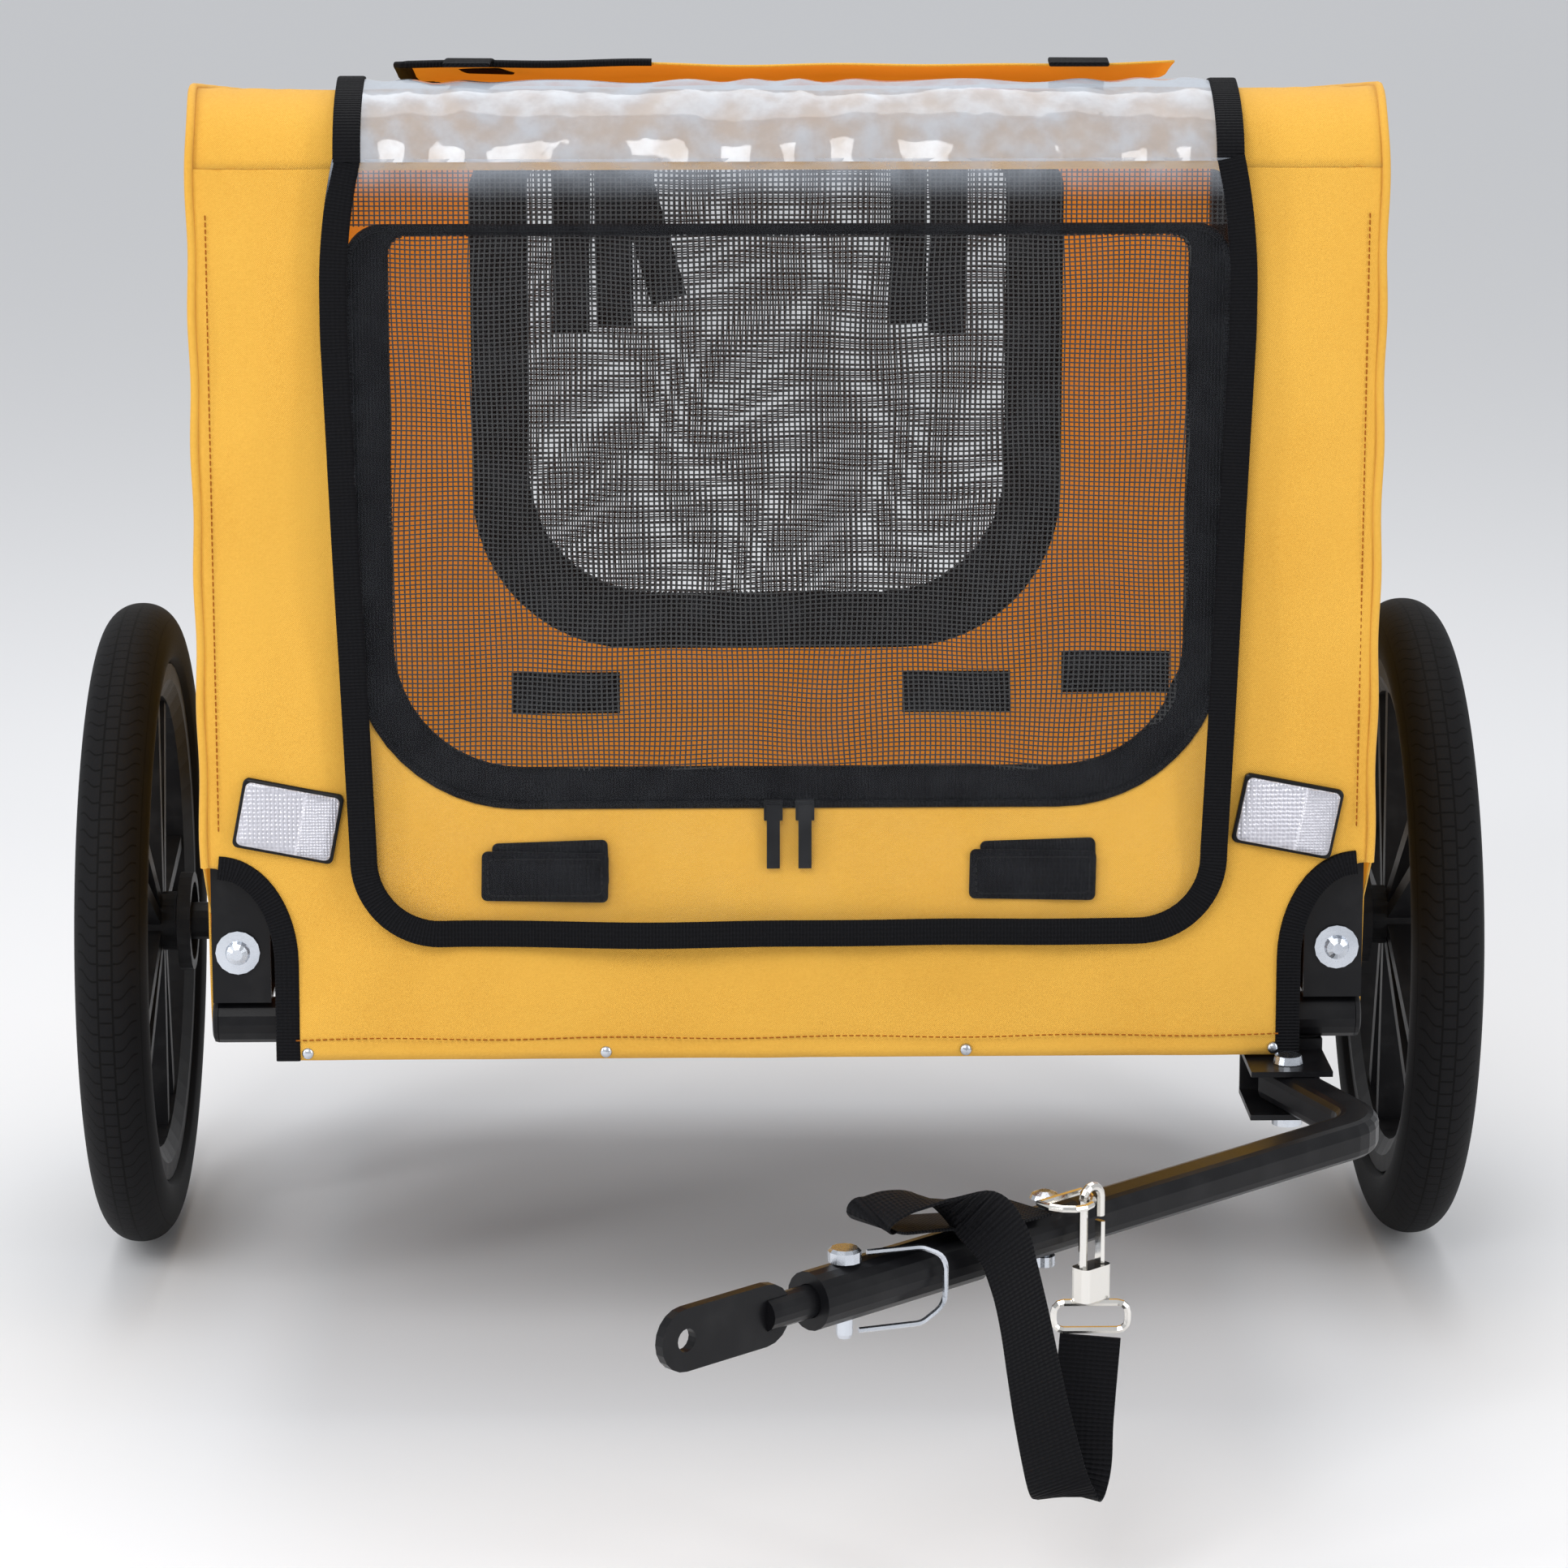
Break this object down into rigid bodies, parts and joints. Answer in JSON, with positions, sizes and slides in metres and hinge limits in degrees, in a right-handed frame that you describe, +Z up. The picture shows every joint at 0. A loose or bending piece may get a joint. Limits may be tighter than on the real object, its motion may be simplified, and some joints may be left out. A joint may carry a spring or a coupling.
{
  "type": "bicycle trailer",
  "caption": "Folding two-wheeled bicycle trailer with a yellow fabric cabin, mesh doors, a clear rain flap and a side-mounted tow arm with a spring hitch.",
  "frame": {"origin": "centre of the base of the bounding box, on the ground", "axes": "-Y is forwards, towards the bicycle; +X is the trailer's left; +Z is up"},
  "size_m": [0.8564, 1.0488, 0.7244],
  "materials": {
    "black_steel": "semi-gloss black paint",
    "black_plastic": "moulded black plastic",
    "tyre_rubber": "black rubber",
    "yellow_fabric": "coated yellow woven fabric",
    "black_mesh": "coated black mesh with bound edges",
    "clear_film": "clear soft film with a black bound edge",
    "black_webbing": "ribbed black webbing",
    "zinc": "zinc plated",
    "nickel": "bright nickel plated",
    "reflector_plastic": "clear prismatic plastic"
  },
  "bodies": {
    "root": {"axle_left": "zinc", "axle_right": "zinc", "axle_socket_left": "black_steel", "axle_socket_right": "black_steel", "bracket_front_left": "black_steel", "bracket_front_right": "black_steel", "bracket_rear_left": "black_steel", "bracket_rear_right": "black_steel", "cover_front": "yellow_fabric", "cover_rear": "yellow_fabric", "cover_roof": "yellow_fabric", "cover_side_left": "yellow_fabric", "cover_side_right": "yellow_fabric", "flap_tab_left": "black_webbing", "flap_tab_right": "black_webbing", "floor_board": "black_plastic", "front_cross_tube": "black_steel", "pivot_bolt_front_left": "zinc", "pivot_bolt_front_right": "zinc", "pivot_bolt_rear_left": "zinc", "pivot_bolt_rear_right": "zinc", "rear_cross_tube": "black_steel", "reflector_left": "reflector_plastic", "reflector_right": "reflector_plastic", "side_rail_left": "black_steel", "side_rail_right": "black_steel", "tow_bracket": "black_steel", "tow_pivot_bolt": "zinc", "tube_cap_left": "black_plastic", "tube_cap_right": "black_plastic"},
    "left_wheel": {"tyre_left": "tyre_rubber", "wheel_left": "black_plastic", "hub_bush_left": "zinc"},
    "right_wheel": {"tyre_right": "tyre_rubber", "wheel_right": "black_plastic", "hub_bush_right": "zinc"},
    "left_side_hoop": {"side_frame_left": "black_steel"},
    "right_side_hoop": {"side_frame_right": "black_steel"},
    "front_door": {"mesh_door": "black_mesh"},
    "back_door": {"rear_door": "black_mesh"},
    "front_flap": {"rain_flap": "clear_film"},
    "left_zip": {"zip_slider_left": "black_plastic"},
    "right_zip": {"zip_slider_right": "black_plastic"},
    "left_button": {"axle_button_left": "black_plastic"},
    "right_button": {"axle_button_right": "black_plastic"},
    "tow_arm": {"arm_tube": "black_steel", "arm_socket": "black_steel", "strap_screw": "zinc", "d_ring": "nickel", "snap_hook": "nickel", "strap_ring": "nickel", "safety_strap": "black_webbing"},
    "hitch_spring": {"coupling_spring": "zinc"},
    "hitch_head": {"hitch_sleeve": "black_steel", "hitch_rod": "black_steel", "hitch_pin": "zinc"},
    "clip": {"pin_clip": "zinc"},
    "gate": {"hook_gate": "nickel"}
  },
  "joints": [
    {"name": "left_wheel_spin", "type": "hinge", "parent": "root", "child": "left_wheel", "pos_m": [0.387, 0.25744, 0.195], "axis": [1, 0, 0], "continuous": true},
    {"name": "right_wheel_spin", "type": "hinge", "parent": "root", "child": "right_wheel", "pos_m": [-0.387, 0.25744, 0.195], "axis": [1, 0, 0], "continuous": true},
    {"name": "side_frame_fold", "type": "hinge", "parent": "root", "child": "right_side_hoop", "pos_m": [-0.2975, -0.05056, 0.2625], "axis": [0, 1, 0], "range_deg": [0, 90]},
    {"name": "left_frame_fold", "type": "hinge", "parent": "root", "child": "left_side_hoop", "pos_m": [0.2975, -0.07256, 0.2625], "axis": [0, -1, 0], "range_deg": [0, 80]},
    {"name": "mesh_door_open", "type": "hinge", "parent": "root", "child": "front_door", "pos_m": [0, -0.09306, 0.655], "axis": [1, 0, 0], "range_deg": [0, 75]},
    {"name": "rear_door_open", "type": "hinge", "parent": "root", "child": "back_door", "pos_m": [0, 0.52294, 0.638], "axis": [1, 0, 0], "range_deg": [0, 90]},
    {"name": "rain_flap_lift", "type": "hinge", "parent": "root", "child": "front_flap", "pos_m": [0, -0.10531, 0.692], "axis": [-1, 0, 0], "range_deg": [0, 100]},
    {"name": "left_zip_slide", "type": "slide", "parent": "root", "child": "left_zip", "axis": [1, 0, 0], "range_m": [0, 0.14]},
    {"name": "left_button_press", "type": "slide", "parent": "root", "child": "left_button", "axis": [-1, 0, 0], "range_m": [0, 0.004], "stiffness_N_per_m": 800},
    {"name": "right_zip_slide", "type": "slide", "parent": "root", "child": "right_zip", "axis": [-1, 0, 0], "range_m": [0, 0.14]},
    {"name": "right_button_press", "type": "slide", "parent": "root", "child": "right_button", "axis": [1, 0, 0], "range_m": [0, 0.004], "stiffness_N_per_m": 800},
    {"name": "tow_arm_swing", "type": "hinge", "parent": "root", "child": "tow_arm", "pos_m": [0.27, -0.10456, 0.189], "axis": [0, 0, -1], "range_deg": [0, 45]},
    {"name": "hitch_yaw", "type": "hinge", "parent": "tow_arm", "child": "hitch_spring", "pos_m": [0.08429, -0.3849, 0.189], "axis": [0, 0, 1], "range_deg": [-15, 15], "stiffness_Nm_per_rad": 20},
    {"name": "hitch_pitch", "type": "hinge", "parent": "hitch_spring", "child": "hitch_head", "pos_m": [0.08429, -0.3849, 0.189], "axis": [0.6678, -0.7443, 0], "range_deg": [-4, 8], "stiffness_Nm_per_rad": 40},
    {"name": "pin_clip_open", "type": "hinge", "parent": "hitch_head", "child": "clip", "pos_m": [0.02842, -0.44107, 0.2065], "axis": [-0.9572, -0.2894, 0], "range_deg": [0, 100]},
    {"name": "hook_gate_open", "type": "hinge", "parent": "tow_arm", "child": "gate", "pos_m": [0.14602, -0.35638, 0.174], "axis": [0.6678, -0.7443, 0], "range_deg": [0, 20], "stiffness_Nm_per_rad": 0.05}
  ],
  "couplings": [
    {"joint": "left_frame_fold", "follows": "side_frame_fold", "ratio": 0.888}
  ]
}
